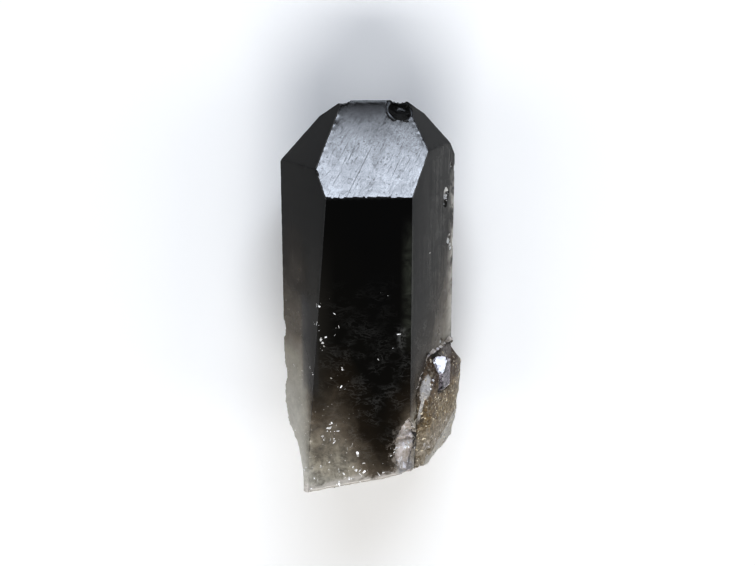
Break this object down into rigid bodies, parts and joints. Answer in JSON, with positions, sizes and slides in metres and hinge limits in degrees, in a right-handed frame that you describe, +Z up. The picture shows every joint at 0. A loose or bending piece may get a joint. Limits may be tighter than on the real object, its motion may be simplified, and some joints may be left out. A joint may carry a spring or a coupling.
{
  "type": "quartz crystal",
  "caption": "Black smoky quartz crystal: a hexagonal prism with a faceted tip and a broken base, and smaller crystals grown on its flank. A display stone or paperweight.",
  "frame": {"origin": "middle of the bounding box in X and Y, and its lowest point in Z: the plane of the flat back face that the crystal rests on", "axes": "+Y runs up the long axis from the broken base to the tip, +Z is up and is the outward normal of the large front face, and +X is the right side, with the smaller crystals, when seen from above with the tip away"},
  "size_m": [0.0282, 0.0588, 0.0224],
  "materials": {
    "smoky_quartz": "polished",
    "smoky_quartz_side": "gloss",
    "smoky_quartz_small": "polished"
  },
  "bodies": {
    "root": {"main_crystal": "smoky_quartz", "side_crystal": "smoky_quartz_side", "small_crystal": "smoky_quartz_small"}
  },
  "joints": []
}
